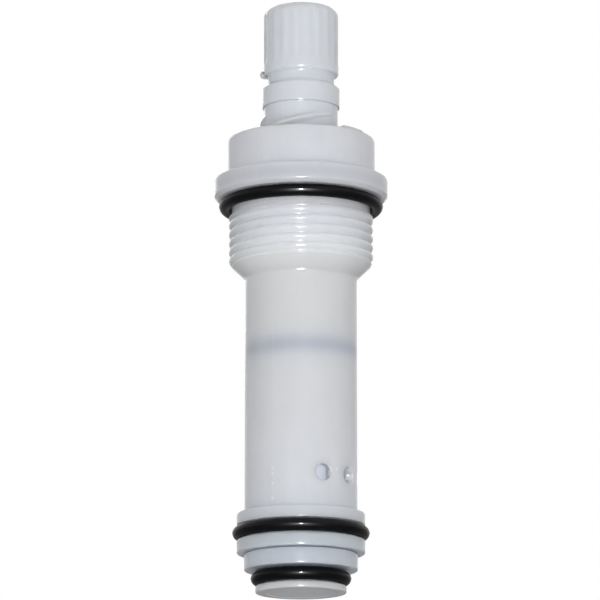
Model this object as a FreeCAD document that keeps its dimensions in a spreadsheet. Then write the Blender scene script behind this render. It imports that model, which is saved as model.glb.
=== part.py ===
import FreeCAD, Part
import os
import re
import Sketcher
from FreeCAD import Placement, Rotation, Vector

# Diverter stem: a moulded sleeve that screws into a valve body, with a rising spindle and a
# plunger inside it. The axis is +Z, the flat foot of the plunger is at the origin, -Y is the
# front, and the plunger is at the top of its travel, closing the mouth of the sleeve.

DOCUMENT = FreeCAD.newDocument("DiverterStem")

# Driving sizes in millimetres and degrees: word, value, meaning
SIZES = (
    ("foot_radius", 6.90, "plunger foot, the disc below its seal"),
    ("foot_thickness", 1.00, "plunger foot, height of the disc"),
    ("foot_groove_radius", 5.50, "plunger, bottom of the foot seal groove"),
    ("foot_seal_section", 2.10, "foot seal, cord diameter"),
    ("plunger_flange_radius", 8.62, "plunger flange that closes the sleeve"),
    ("plunger_flange_thickness", 2.50, "plunger flange, height"),
    ("plug_height", 1.40, "plunger plug that stands in the sleeve mouth"),
    ("plug_clearance", 0.15, "plug to sleeve bore, radial"),
    ("plunger_stem_radius", 3.80, "plunger, round stem between plug and piston"),
    ("stem_blend", 1.20, "fillet where the plunger stem meets plug and piston"),
    ("seat_gap", 0.10, "plunger flange to sleeve mouth at rest"),
    ("ring_side_play", 0.15, "seal to each side of its groove"),
    ("ring_fit", 0.03, "seal to the bottom of its groove"),
    ("collar_radius", 9.73, "sleeve, the two collars beside the sleeve seal"),
    ("lower_collar_height", 1.97, "sleeve, collar below the sleeve seal"),
    ("upper_collar_height", 1.80, "sleeve, collar above the sleeve seal"),
    ("sleeve_groove_radius", 8.37, "sleeve, bottom of the sleeve seal groove"),
    ("sleeve_seal_section", 2.03, "sleeve seal, cord diameter"),
    ("sleeve_bore_radius", 7.25, "sleeve, bore that the piston runs in"),
    ("mouth_chamfer", 0.50, "sleeve, lead-in at the mouth of the bore"),
    ("edge_break", 0.20, "rounding of the moulded edges"),
    ("tube_radius", 8.56, "sleeve, plain tube"),
    ("tube_length", 36.41, "sleeve, plain tube between collar and shoulder"),
    ("port_radius", 1.45, "sleeve, water ports"),
    ("port_height", 5.20, "sleeve, port axis above the upper collar"),
    ("port_count", 5, "sleeve, number of ports"),
    ("port_first_angle", 25.4, "first port, turned from the front towards +X"),
    ("port_spacing", 27.5, "angle from one port to the next"),
    ("shoulder_height", 2.40, "sleeve, cone from tube to thread"),
    ("shoulder_blend", 1.00, "fillet at the foot of the shoulder"),
    ("thread_radius", 11.11, "body thread, 7/8 inch over its crests"),
    ("thread_length", 7.10, "body thread, length"),
    ("neck_radius", 10.65, "sleeve, neck that the flange seal sits on"),
    ("neck_height", 2.85, "sleeve, neck between thread and flange"),
    ("flange_seal_section", 1.94, "flange seal, cord diameter"),
    ("flange_radius", 13.33, "sleeve, flange"),
    ("flange_thickness", 3.23, "sleeve, flange"),
    ("flange_chamfer", 0.55, "sleeve, lower edge of the flange"),
    ("bonnet_radius", 11.38, "sleeve, bonnet above the flange"),
    ("bonnet_height", 6.25, "sleeve, bonnet above the flange"),
    ("pad_inner_radius", 8.20, "index pad on the bonnet, inner edge"),
    ("pad_outer_radius", 10.60, "index pad on the bonnet, outer edge"),
    ("pad_height", 0.45, "index pad, above the bonnet"),
    ("pad_first_angle", -52.5, "index pad, first side, turned from +X"),
    ("pad_sweep", 23.5, "index pad, angle from side to side"),
    ("nut_length", 8.00, "nut thread inside the bonnet"),
    ("nut_lead_in", 0.35, "chamfer at both ends of the nut"),
    ("screw_core_radius", 5.68, "spindle, core of the lifting screw"),
    ("screw_depth", 1.27, "lifting screw, height of its ridges"),
    ("screw_lead", 10.00, "lifting screw, rise in one turn"),
    ("screw_starts", 3, "lifting screw, number of ridges"),
    ("ridge_foot_width", 2.10, "lifting screw ridge, width at its foot"),
    ("ridge_crest_width", 0.90, "lifting screw ridge, width at its crest"),
    ("ridge_drop", 9.80, "lifting screw, start of the ridges below the bonnet top"),
    ("screw_bottom_trim", 0.50, "lifting screw, plain core above the start of the ridges"),
    ("screw_end_slope", 1.43, "lifting screw, fall of its end cone for each mm of radius"),
    ("screw_exposed", 3.67, "lifting screw standing above the bonnet at rest"),
    ("running_fit", 0.10, "screw to nut and swivel to socket"),
    ("shank_height", 1.46, "spindle, plain shank below the collar"),
    ("spindle_collar_radius", 5.97, "spindle, collar that stops the downward travel"),
    ("spindle_collar_height", 2.96, "spindle, collar"),
    ("spindle_collar_chamfer", 0.72, "spindle, height of the cone above the collar"),
    ("handle_groove_radius", 5.12, "spindle, groove below the broach"),
    ("handle_groove_height", 1.52, "spindle, groove below the broach"),
    ("broach_radius", 5.80, "spindle, broach over its teeth"),
    ("broach_length", 10.74, "spindle, broach with its plain band"),
    ("broach_band", 1.75, "spindle, plain band below the flutes"),
    ("broach_crown", 1.20, "spindle, rounding of the top edge"),
    ("flute_count", 20, "broach, number of flutes"),
    ("flute_depth", 0.45, "broach, depth of a flute"),
    ("flute_width", 1.30, "broach, width of a flute at the teeth"),
    ("nub_radius", 0.65, "broach, small index nub at the left"),
    ("nub_rise", 0.20, "broach, centre of the nub above the lower end of the broach"),
    ("nub_reach", 6.35, "broach, outermost point of the nub"),
    ("handle_hole_radius", 1.90, "spindle, blind hole for the handle screw"),
    ("handle_hole_depth", 15.00, "spindle, blind hole for the handle screw"),
    ("handle_hole_chamfer", 0.50, "spindle, mouth of the handle screw hole"),
    ("spindle_rod_radius", 4.00, "spindle, rod between screw and piston"),
    ("piston_seal_section", 1.90, "piston seal, cord diameter"),
    ("piston_seal_play", 0.05, "piston seal to sleeve bore"),
    ("piston_seal_height", 24.80, "piston seal centre above the sleeve collars"),
    ("piston_land", 1.30, "piston, wall above and below its seal"),
    ("piston_clearance", 0.25, "piston to sleeve bore, radial"),
    ("swivel_neck_radius", 2.00, "spindle tip, neck in the socket lip"),
    ("swivel_head_radius", 2.75, "spindle tip, head that is snapped into the socket"),
    ("swivel_head_height", 2.50, "spindle tip, head"),
    ("swivel_tip_height", 0.70, "spindle tip, cone below the head"),
    ("socket_lip", 2.10, "plunger socket, thickness of its lip"),
    ("socket_bottom_gap", 0.30, "plunger socket, room below the spindle tip"),
)

SHEET_NAME = "Sizes"

# The sweep of a ridge starts this far inside the core, so that it joins it all along
RIDGE_ROOT = 0.30


def fill_sheet():
    """Put every driving size in the sheet: its meaning, its value and the word that names it."""
    sheet = DOCUMENT.addObject("Spreadsheet::Sheet", SHEET_NAME)
    for row, (word, value, meaning) in enumerate(SIZES, start=1):
        sheet.set(f"A{row}", meaning)
        sheet.set(f"B{row}", str(value))
        sheet.setAlias(f"B{row}", word)
    DOCUMENT.recompute()
    return sheet


SHEET = fill_sheet()


def cells(text):
    """Write an expression on the sheet's words as one on its cells."""
    return re.sub(r"\b[a-z][a-z_]*\b(?!\()", lambda word: f"{SHEET_NAME}.{word.group()}", text)


def number(text):
    """Value of an expression on the sheet's words, as the sheet stands now."""
    return float(SHEET.evalExpression(cells(text)))


# Levels above the foot, each one stacked on the one below it
FLANGE_BOTTOM = "foot_thickness + foot_seal_section + 2 * ring_side_play"
FLANGE_TOP = FLANGE_BOTTOM + " + plunger_flange_thickness"
MOUTH = FLANGE_TOP + " + seat_gap"
SLEEVE_GROOVE_BOTTOM = MOUTH + " + lower_collar_height"
SLEEVE_GROOVE_TOP = SLEEVE_GROOVE_BOTTOM + " + sleeve_seal_section + 2 * ring_side_play"
COLLAR_TOP = SLEEVE_GROOVE_TOP + " + upper_collar_height"
TUBE_TOP = COLLAR_TOP + " + tube_length"
SHOULDER_TOP = TUBE_TOP + " + shoulder_height"
THREAD_TOP = SHOULDER_TOP + " + thread_length"
NECK_TOP = THREAD_TOP + " + neck_height"
BODY_FLANGE_TOP = NECK_TOP + " + flange_thickness"
BONNET_TOP = BODY_FLANGE_TOP + " + bonnet_height"
NUT_BOTTOM = BONNET_TOP + " - nut_length"
SCREW_START = BONNET_TOP + " - ridge_drop"
SCREW_BOTTOM = SCREW_START + " + screw_bottom_trim"
SCREW_TOP = BONNET_TOP + " + screw_exposed"
SPINDLE_COLLAR_BOTTOM = SCREW_TOP + " + shank_height"
SPINDLE_COLLAR_TOP = SPINDLE_COLLAR_BOTTOM + " + spindle_collar_height"
HANDLE_GROOVE_BOTTOM = SPINDLE_COLLAR_TOP + " + spindle_collar_chamfer"
BROACH_BOTTOM = HANDLE_GROOVE_BOTTOM + " + handle_groove_height"
FLUTE_BOTTOM = BROACH_BOTTOM + " + broach_band"
STEM_TOP = BROACH_BOTTOM + " + broach_length"
PISTON_SEAL = COLLAR_TOP + " + piston_seal_height"
PISTON_GROOVE_HALF = "piston_seal_section / 2 + ring_side_play"
PISTON_BOTTOM = f"{PISTON_SEAL} - piston_land - ({PISTON_GROOVE_HALF})"
PISTON_TOP = f"{PISTON_SEAL} + piston_land + {PISTON_GROOVE_HALF}"
SOCKET_TOP = PISTON_TOP + " - socket_lip"
SWIVEL_HEAD_TOP = SOCKET_TOP + " - running_fit"
SWIVEL_HEAD_BOTTOM = SWIVEL_HEAD_TOP + " - swivel_head_height"
SWIVEL_TIP = SWIVEL_HEAD_BOTTOM + " - swivel_tip_height"
SOCKET_BOTTOM = SWIVEL_TIP + " - socket_bottom_gap"

# Radii that follow from a fit
SCREW_CREST = "screw_core_radius + screw_depth"
NUT_BORE = "screw_core_radius + running_fit"
PISTON_RADIUS = "sleeve_bore_radius - piston_clearance"
PISTON_SEAL_OUTER = "sleeve_bore_radius - piston_seal_play"
PISTON_GROOVE_RADIUS = f"{PISTON_SEAL_OUTER} - piston_seal_section - ring_fit"
PLUG_RADIUS = "sleeve_bore_radius - plug_clearance"


def new_body(label):
    """Empty body of one moulded piece."""
    body = DOCUMENT.addObject("PartDesign::Body", label)
    body.Label = label
    return body


def attached_sketch(body, name, plane, turn="0", lift="0"):
    """Sketch on one of the body's own planes, turned about +Z by an angle or lifted along +Z."""
    sketch = body.newObject("Sketcher::SketchObject", name)
    support = [feature for feature in body.Origin.OriginFeatures if feature.Role == plane][0]
    sketch.AttachmentSupport = [(support, "")]
    sketch.MapMode = "FlatFace"
    upright = plane != "XY_Plane"
    sketch.AttachmentOffset = Placement(Vector(), Rotation(Vector(0, upright, not upright), 0))
    if turn != "0":
        sketch.AttachmentOffset = Placement(Vector(), Rotation(Vector(0, upright, not upright), 1))
        sketch.setExpression("AttachmentOffset.Rotation.Angle", cells(turn))
    if lift != "0":
        sketch.setExpression("AttachmentOffset.Base.z", cells(lift))
    return sketch


def drive(sketch, kind, places, text):
    """Add a distance constraint that an expression on the sheet drives."""
    index = sketch.addConstraint(Sketcher.Constraint(kind, *places, number(text)))
    sketch.setExpression(f"Constraints[{index}]", cells(text))


def closed_outline(sketch, corners):
    """Closed outline of straight lines. Each corner is (distance from the axis, level), in words."""
    points = [Vector(number(across), number(level), 0) for across, level in corners]
    following = points[1:] + points[:1]
    for start, end in zip(points, following):
        sketch.addGeometry(Part.LineSegment(start, end))
    for line in range(len(corners)):
        after = (line + 1) % len(corners)
        sketch.addConstraint(Sketcher.Constraint("Coincident", line, 2, after, 1))
    for line, (across, level) in enumerate(corners):
        if across == "0":
            sketch.addConstraint(Sketcher.Constraint("PointOnObject", line, 1, -2))
        else:
            drive(sketch, "DistanceX", (-1, 1, line, 1), across)
        if level == "0":
            sketch.addConstraint(Sketcher.Constraint("PointOnObject", line, 1, -1))
        else:
            drive(sketch, "DistanceY", (-1, 1, line, 1), level)


def turned(body, name, corners, kind="PartDesign::Revolution", turn="0", sweep="360"):
    """Turn a closed outline about +Z: a Revolution adds it, a Groove cuts it away."""
    sketch = attached_sketch(body, f"{name}_outline", "XZ_Plane", turn=turn)
    closed_outline(sketch, corners)
    feature = body.newObject(kind, name)
    feature.Profile = sketch
    feature.ReferenceAxis = (sketch, ["V_Axis"])
    feature.Angle = number(sweep)
    if sweep != "360":
        feature.setExpression("Angle", cells(sweep))
    DOCUMENT.recompute()
    return feature


def around(body, name, feature, count, angle="360", refine=True):
    """Repeat a feature about +Z and make the pattern the tip of its body."""
    pattern = body.newObject("PartDesign::PolarPattern", name)
    pattern.Originals = [feature]
    upright = [plane for plane in body.Origin.OriginFeatures if plane.Role == "Z_Axis"][0]
    pattern.Axis = (upright, [""])
    pattern.Angle = number(angle)
    if angle != "360":
        pattern.setExpression("Angle", cells(angle))
    pattern.setExpression("Occurrences", cells(count))
    pattern.Refine = refine
    body.Tip = pattern
    DOCUMENT.recompute()
    return pattern


def ring_edges(shape, rings):
    """Names of the round edges about +Z at each (radius, level) given in words."""
    wanted = [(number(radius), number(level)) for radius, level in rings]
    names = []
    for index, edge in enumerate(shape.Edges, start=1):
        curve = edge.Curve
        if not isinstance(curve, Part.Circle):
            continue
        place = (curve.Radius, curve.Center.z)
        near_axis = Vector(curve.Center.x, curve.Center.y, 0).Length < 1e-6
        if near_axis and any(abs(place[0] - r) + abs(place[1] - z) < 1e-4 for r, z in wanted):
            names.append(f"Edge{index}")
    return names


def rounded(body, name, base, rings, radius):
    """Fillet the round edges at the given places."""
    fillet = body.newObject("PartDesign::Fillet", name)
    fillet.Base = (base, ring_edges(base.Shape, rings))
    fillet.Radius = number(radius)
    fillet.setExpression("Radius", cells(radius))
    DOCUMENT.recompute()
    return fillet


def ridge_section(grown):
    """Four corners of a screw ridge, grown all round by a clearance given in words."""
    foot = f"ridge_foot_width / 2 + {grown}"
    crest = f"ridge_crest_width / 2 + {grown}"
    inner = f"screw_core_radius - {RIDGE_ROOT}"
    outer = f"{SCREW_CREST} + {grown}"
    return (
        (inner, f"{SCREW_START} - ({foot})"),
        (outer, f"{SCREW_START} - ({crest})"),
        (outer, f"{SCREW_START} + {crest}"),
        (inner, f"{SCREW_START} + {foot}"),
    )


def screw_ridges(body, name, kind, grown, rise):
    """Sweep a ridge up the right-hand helix from the start of the screw, once for each start."""
    sketch = attached_sketch(body, f"{name}_section", "XZ_Plane")
    closed_outline(sketch, ridge_section(grown))
    ridge = body.newObject(kind, name)
    ridge.Profile = sketch
    ridge.ReferenceAxis = (sketch, ["V_Axis"])
    ridge.Mode = "pitch-height-angle"
    ridge.LeftHanded = False
    ridge.Refine = False
    ridge.Pitch = number("screw_lead")
    ridge.setExpression("Pitch", cells("screw_lead"))
    ridge.Height = number(rise)
    ridge.setExpression("Height", cells(rise))
    DOCUMENT.recompute()
    return around(body, f"{name}_starts", ridge, "screw_starts", refine=False)


# Sleeve: one moulding from the collars at its mouth to the bonnet, with the nut inside it
SLEEVE_OUTLINE = (
    ("sleeve_bore_radius + mouth_chamfer", MOUTH),
    ("collar_radius", MOUTH),
    ("collar_radius", SLEEVE_GROOVE_BOTTOM),
    ("sleeve_groove_radius", SLEEVE_GROOVE_BOTTOM),
    ("sleeve_groove_radius", SLEEVE_GROOVE_TOP),
    ("collar_radius", SLEEVE_GROOVE_TOP),
    ("collar_radius", COLLAR_TOP),
    ("tube_radius", COLLAR_TOP),
    ("tube_radius", TUBE_TOP),
    ("thread_radius", SHOULDER_TOP),
    ("thread_radius", THREAD_TOP),
    ("neck_radius", THREAD_TOP),
    ("neck_radius", NECK_TOP),
    ("flange_radius - flange_chamfer", NECK_TOP),
    ("flange_radius", NECK_TOP + " + flange_chamfer"),
    ("flange_radius", BODY_FLANGE_TOP),
    ("bonnet_radius", BODY_FLANGE_TOP),
    ("bonnet_radius", BONNET_TOP),
    (NUT_BORE + " + nut_lead_in", BONNET_TOP),
    (NUT_BORE, BONNET_TOP + " - nut_lead_in"),
    (NUT_BORE, NUT_BOTTOM + " + nut_lead_in"),
    (NUT_BORE + " + nut_lead_in", NUT_BOTTOM),
    ("sleeve_bore_radius", NUT_BOTTOM),
    ("sleeve_bore_radius", MOUTH + " + mouth_chamfer"),
)

SLEEVE_ROUNDED_EDGES = (
    ("collar_radius", MOUTH),
    ("collar_radius", COLLAR_TOP),
    ("flange_radius", BODY_FLANGE_TOP),
    ("bonnet_radius", BONNET_TOP),
)

PAD_OUTLINE = (
    ("pad_inner_radius", BONNET_TOP + " - pad_height"),
    ("pad_outer_radius", BONNET_TOP + " - pad_height"),
    ("pad_outer_radius", BONNET_TOP + " + pad_height"),
    ("pad_inner_radius", BONNET_TOP + " + pad_height"),
)


def cut_ports(body):
    """Drill the first port out through the wall of the tube and repeat it round the axis."""
    sketch = attached_sketch(body, "port_circle", "XZ_Plane", turn="port_first_angle")
    height = f"{COLLAR_TOP} + port_height"
    sketch.addGeometry(Part.Circle(Vector(0, number(height), 0), Vector(0, 0, 1), number("port_radius")))
    sketch.addConstraint(Sketcher.Constraint("PointOnObject", 0, 3, -2))
    drive(sketch, "DistanceY", (-1, 1, 0, 3), height)
    drive(sketch, "Radius", (0,), "port_radius")
    port = body.newObject("PartDesign::Pocket", "port")
    port.Profile = sketch
    port.Reversed = True
    reach = "tube_radius + port_radius"
    port.Length = number(reach)
    port.setExpression("Length", cells(reach))
    DOCUMENT.recompute()
    around(body, "ports", port, "port_count", "port_spacing * (port_count - 1)")


def make_sleeve():
    """Turn the sleeve, round its edges, drill its ports and cut the nut thread in its bonnet."""
    body = new_body("sleeve_body")
    turning = turned(body, "sleeve_turning", SLEEVE_OUTLINE)
    edges = rounded(body, "moulded_edges", turning, SLEEVE_ROUNDED_EDGES, "edge_break")
    rounded(body, "shoulder_foot", edges, (("tube_radius", TUBE_TOP),), "shoulder_blend")
    turned(body, "index_pad", PAD_OUTLINE, turn="pad_first_angle", sweep="pad_sweep")
    cut_ports(body)
    rise = "ridge_drop + ridge_foot_width"
    screw_ridges(body, "nut_thread", "PartDesign::SubtractiveHelix", "running_fit", rise)
    return body


# Spindle: one moulding from the broach for the handle to the tip that snaps into the plunger
SPINDLE_OUTLINE = (
    ("0", SWIVEL_TIP),
    ("swivel_neck_radius", SWIVEL_TIP),
    ("swivel_head_radius", SWIVEL_HEAD_BOTTOM),
    ("swivel_head_radius", SWIVEL_HEAD_TOP),
    ("swivel_neck_radius", SWIVEL_HEAD_TOP),
    ("swivel_neck_radius", PISTON_TOP + " + running_fit"),
    ("spindle_rod_radius", PISTON_TOP + " + running_fit"),
    ("spindle_rod_radius", SCREW_START),
    ("screw_core_radius", SCREW_START),
    ("screw_core_radius", SPINDLE_COLLAR_BOTTOM),
    ("spindle_collar_radius", SPINDLE_COLLAR_BOTTOM),
    ("spindle_collar_radius", SPINDLE_COLLAR_TOP),
    ("handle_groove_radius", HANDLE_GROOVE_BOTTOM),
    ("handle_groove_radius", BROACH_BOTTOM),
    ("broach_radius", BROACH_BOTTOM),
    ("broach_radius", STEM_TOP),
    ("handle_hole_radius + handle_hole_chamfer", STEM_TOP),
    ("handle_hole_radius", STEM_TOP + " - handle_hole_chamfer"),
    ("handle_hole_radius", STEM_TOP + " - handle_hole_depth"),
    ("0", STEM_TOP + " - handle_hole_depth - handle_hole_radius / 2"),
)

SCREW_END_CUT = (
    ("screw_core_radius", SCREW_TOP),
    (SCREW_CREST + " + screw_depth", SCREW_TOP + " - 2 * screw_depth * screw_end_slope"),
    (SCREW_CREST + " + screw_depth", SPINDLE_COLLAR_BOTTOM),
    ("screw_core_radius", SPINDLE_COLLAR_BOTTOM),
)

SCREW_START_CUT = (
    ("screw_core_radius", SCREW_START + " - ridge_foot_width"),
    (SCREW_CREST + " + screw_depth", SCREW_START + " - ridge_foot_width"),
    (SCREW_CREST + " + screw_depth", SCREW_BOTTOM + " + 2 * screw_depth"),
    ("screw_core_radius", SCREW_BOTTOM),
)


def cut_flutes(body):
    """Cut one V flute down from the top of the broach and repeat it for every tooth."""
    sketch = attached_sketch(body, "flute_section", "XY_Plane", lift=STEM_TOP)
    bottom = "broach_radius - flute_depth"
    outer = "broach_radius + flute_depth"
    corners = ((bottom, "0"), (outer, "flute_width"), (outer, "-flute_width"))
    points = [Vector(number(across), number(aside), 0) for across, aside in corners]
    for start, end in zip(points, points[1:] + points[:1]):
        sketch.addGeometry(Part.LineSegment(start, end))
    for line in range(3):
        sketch.addConstraint(Sketcher.Constraint("Coincident", line, 2, (line + 1) % 3, 1))
    sketch.addConstraint(Sketcher.Constraint("PointOnObject", 0, 1, -1))
    sketch.addConstraint(Sketcher.Constraint("Symmetric", 0, 2, 1, 2, -1))
    drive(sketch, "DistanceX", (-1, 1, 0, 1), bottom)
    drive(sketch, "DistanceX", (-1, 1, 0, 2), outer)
    drive(sketch, "DistanceY", (1, 2, 0, 2), "2 * flute_width")
    flute = body.newObject("PartDesign::Pocket", "flute")
    flute.Profile = sketch
    flute.Length = number("broach_length - broach_band")
    flute.setExpression("Length", cells("broach_length - broach_band"))
    DOCUMENT.recompute()
    around(body, "flutes", flute, "flute_count")


def add_nub(body):
    """Small round index nub at the foot of the broach, on the left as seen from the front."""
    nub = body.newObject("PartDesign::AdditiveSphere", "index_nub")
    support = [plane for plane in body.Origin.OriginFeatures if plane.Role == "XY_Plane"][0]
    nub.AttachmentSupport = [(support, "")]
    nub.MapMode = "FlatFace"
    nub.setExpression("Radius", cells("nub_radius"))
    nub.setExpression("AttachmentOffset.Base.x", cells("nub_radius - nub_reach"))
    nub.setExpression("AttachmentOffset.Base.z", cells(BROACH_BOTTOM + " + nub_rise"))
    DOCUMENT.recompute()


def make_spindle():
    """Turn the spindle, crown its top, raise the lifting screw and cut the broach."""
    body = new_body("spindle")
    turning = turned(body, "spindle_turning", SPINDLE_OUTLINE)
    rounded(body, "broach_crown", turning, (("broach_radius", STEM_TOP),), "broach_crown")
    half_ridge = "ridge_foot_width / 2"
    rise = f"ridge_drop + screw_exposed + shank_height - {half_ridge} - running_fit"
    screw_ridges(body, "lifting_screw", "PartDesign::AdditiveHelix", "0", rise)
    turned(body, "screw_end", SCREW_END_CUT, kind="PartDesign::Groove")
    turned(body, "screw_start", SCREW_START_CUT, kind="PartDesign::Groove")
    cut_flutes(body)
    add_nub(body)
    return body


# Plunger: foot, flange, plug, stem and piston in one moulding, with a snap socket in its top
PLUNGER_OUTLINE = (
    ("0", "0"),
    ("foot_radius", "0"),
    ("foot_radius", "foot_thickness"),
    ("foot_groove_radius", "foot_thickness"),
    ("foot_groove_radius", FLANGE_BOTTOM),
    ("plunger_flange_radius", FLANGE_BOTTOM),
    ("plunger_flange_radius", FLANGE_TOP),
    (PLUG_RADIUS, FLANGE_TOP),
    (PLUG_RADIUS, FLANGE_TOP + " + plug_height / 2"),
    (PLUG_RADIUS + " - plug_height / 2", FLANGE_TOP + " + plug_height"),
    ("plunger_stem_radius", FLANGE_TOP + " + plug_height"),
    ("plunger_stem_radius", PISTON_BOTTOM),
    (PISTON_RADIUS, PISTON_BOTTOM),
    (PISTON_RADIUS, f"{PISTON_SEAL} - ({PISTON_GROOVE_HALF})"),
    (PISTON_GROOVE_RADIUS, f"{PISTON_SEAL} - ({PISTON_GROOVE_HALF})"),
    (PISTON_GROOVE_RADIUS, f"{PISTON_SEAL} + {PISTON_GROOVE_HALF}"),
    (PISTON_RADIUS, f"{PISTON_SEAL} + {PISTON_GROOVE_HALF}"),
    (PISTON_RADIUS, PISTON_TOP),
    ("swivel_neck_radius + running_fit", PISTON_TOP),
    ("swivel_neck_radius + running_fit", SOCKET_TOP),
    ("swivel_head_radius + running_fit", SOCKET_TOP),
    ("swivel_head_radius + running_fit", SOCKET_BOTTOM),
    ("0", SOCKET_BOTTOM),
)


def make_plunger():
    """Turn the plunger and round its outer edges and the two ends of its stem."""
    body = new_body("plunger")
    turning = turned(body, "plunger_turning", PLUNGER_OUTLINE)
    outer = (("foot_radius", "0"), ("plunger_flange_radius", FLANGE_BOTTOM))
    edges = rounded(body, "moulded_edges", turning, outer, "edge_break")
    ends = (
        ("plunger_stem_radius", FLANGE_TOP + " + plug_height"),
        ("plunger_stem_radius", PISTON_BOTTOM),
    )
    rounded(body, "stem_blends", edges, ends, "stem_blend")
    return body


# Rubber rings: each one is a torus given by the radius of its middle and its cord diameter
RINGS = (
    ("plunger_o_ring", "foot_groove_radius + ring_fit", "foot_seal_section",
     "foot_thickness + ring_side_play + foot_seal_section / 2"),
    ("sleeve_o_ring", "sleeve_groove_radius + ring_fit", "sleeve_seal_section",
     SLEEVE_GROOVE_BOTTOM + " + ring_side_play + sleeve_seal_section / 2"),
    ("flange_o_ring", "neck_radius + ring_fit", "flange_seal_section",
     NECK_TOP + " - ring_fit - flange_seal_section / 2"),
    ("piston_o_ring", f"{PISTON_GROOVE_RADIUS} + ring_fit", "piston_seal_section", PISTON_SEAL),
)


def make_ring(label, inner, section, level):
    """Rubber ring whose cord lies outside the inner radius, centred on a level."""
    ring = DOCUMENT.addObject("Part::Torus", label)
    ring.Label = label
    ring.setExpression("Radius1", cells(f"{inner} + {section} / 2"))
    ring.setExpression("Radius2", cells(f"{section} / 2"))
    ring.setExpression("Placement.Base.z", cells(level))
    return ring


def check_document():
    """Stop if any object of the document failed to build."""
    for item in DOCUMENT.Objects:
        if "Invalid" in item.State or "Error" in item.State:
            raise RuntimeError(f"{item.Label} did not build: {item.State}")


def write_pieces(pieces):
    """Write each sub-part, once its solid is whole, to the file named after it."""
    os.makedirs("parts", exist_ok=True)
    for piece in pieces:
        shape = piece.Shape
        if shape.isNull() or not shape.isValid() or len(shape.Solids) != 1:
            raise RuntimeError(f"{piece.Label} is not one valid solid")
        shape.exportStep(f"parts/{piece.Label}.step")
        box = shape.BoundBox
        print(f"{piece.Label}: {shape.Volume:.1f} mm3, {box.ZMin:.2f} to {box.ZMax:.2f} mm")


PIECES = [make_sleeve(), make_spindle(), make_plunger()]
PIECES += [make_ring(*ring) for ring in RINGS]
DOCUMENT.recompute()
check_document()
write_pieces(PIECES)
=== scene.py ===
import math

import bpy
import numpy as np
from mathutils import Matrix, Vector


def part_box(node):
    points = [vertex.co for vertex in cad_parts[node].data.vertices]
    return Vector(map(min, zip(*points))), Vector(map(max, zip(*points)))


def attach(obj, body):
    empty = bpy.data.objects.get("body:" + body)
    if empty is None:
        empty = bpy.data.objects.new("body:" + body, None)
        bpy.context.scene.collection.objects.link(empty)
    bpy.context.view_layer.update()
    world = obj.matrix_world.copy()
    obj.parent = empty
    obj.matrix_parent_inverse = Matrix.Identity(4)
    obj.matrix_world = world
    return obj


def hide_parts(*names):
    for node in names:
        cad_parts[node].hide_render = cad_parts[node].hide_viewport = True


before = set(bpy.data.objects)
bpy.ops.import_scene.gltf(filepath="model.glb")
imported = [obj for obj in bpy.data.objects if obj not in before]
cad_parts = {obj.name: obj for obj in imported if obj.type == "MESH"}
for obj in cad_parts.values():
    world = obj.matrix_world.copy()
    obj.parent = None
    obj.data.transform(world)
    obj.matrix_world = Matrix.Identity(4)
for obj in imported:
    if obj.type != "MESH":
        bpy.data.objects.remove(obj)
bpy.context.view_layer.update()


# Sleeve: the long body that screws into the valve, injection moulded in white acetal in one
# piece, with the seal collars at its mouth, the water ports, the body thread, the flange and
# the bonnet that holds the nut. The two halves of its mould leave a fine line down both sides.
MM = 0.001
COLUMNS = 288
COLUMN_STEP = 2 * math.pi / COLUMNS

MOUTH = 6.00
COLLAR_RADIUS = 9.73
LOWER_COLLAR_TOP = 7.97
SEAL_GROOVE_TOP = 10.30
SEAL_GROOVE_RADIUS = 8.37
COLLAR_TOP = 12.10
TUBE_RADIUS = 8.56
BORE_RADIUS = 7.25
TUBE_TOP = 48.51
THREAD_BOTTOM = 50.91
THREAD_TOP = 58.01
THREAD_RADIUS = 11.11
NECK_RADIUS = 10.65
NECK_TOP = 60.86
FLANGE_RADIUS = 13.33
FLANGE_TOP = 64.09
BONNET_RADIUS = 11.38
BONNET_TOP = 70.34
NUT_BOTTOM = 62.34
NUT_BORE = 5.78

PORT_RADIUS = 1.27
PORT_HEIGHT = 17.30
PORT_COUNT = 5
PORT_COLUMNS = 22
PORT_SPACING = 27
PORT_FIRST = math.radians(23.6 - 90)
PORT_HALF_CELL = TUBE_RADIUS * COLUMN_STEP * PORT_COLUMNS / 2


def open_outline(corners, steps=4, guard=0.04):
    """Outline of (radius, level) points through corners of (radius, level, rounding).

    A rounding f cuts each corner back by f * tan(turn / 2) along both of its lines, and the arc
    between is centre + f * (cos a, sin a) for evenly spaced a. One guard point on each line
    beside an arc keeps the flat walls flat in smooth shading.
    """
    places = np.array([corner[:2] for corner in corners], float)
    rows = [places[:1]]
    for index in range(1, len(corners) - 1):
        here, rounding = places[index], corners[index][2]
        before = (here - places[index - 1]) / np.linalg.norm(here - places[index - 1])
        after = (places[index + 1] - here) / np.linalg.norm(places[index + 1] - here)
        cross = before[0] * after[1] - before[1] * after[0]
        turn = math.atan2(cross, float(before @ after))
        if rounding == 0 or abs(turn) < 1e-6:
            rows.append(here[None])
            continue
        cut = rounding * math.tan(abs(turn) / 2)
        side = np.array([-before[1], before[0]]) * math.copysign(1, turn)
        centre = here - before * cut + side * rounding
        angles = np.linspace(0, turn, steps + 1)[:, None]
        spoke = -side * rounding
        swung = np.array([-spoke[1], spoke[0]])
        arc = centre + spoke * np.cos(angles) + swung * np.sin(angles)
        rows += [(here - before * (cut + guard))[None], arc, (here + after * (cut + guard))[None]]
    rows.append(places[-1:])
    return np.vstack(rows)


def walked(outline, step):
    """The same outline with its points evenly spaced, about one step apart along it."""
    spans = np.linalg.norm(np.diff(outline, axis=0), axis=1)
    along = np.concatenate([[0], np.cumsum(spans)])
    even = np.linspace(0, along[-1], int(round(along[-1] / step)) + 1)
    return np.column_stack([np.interp(even, along, outline[:, axis]) for axis in (0, 1)])


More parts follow.
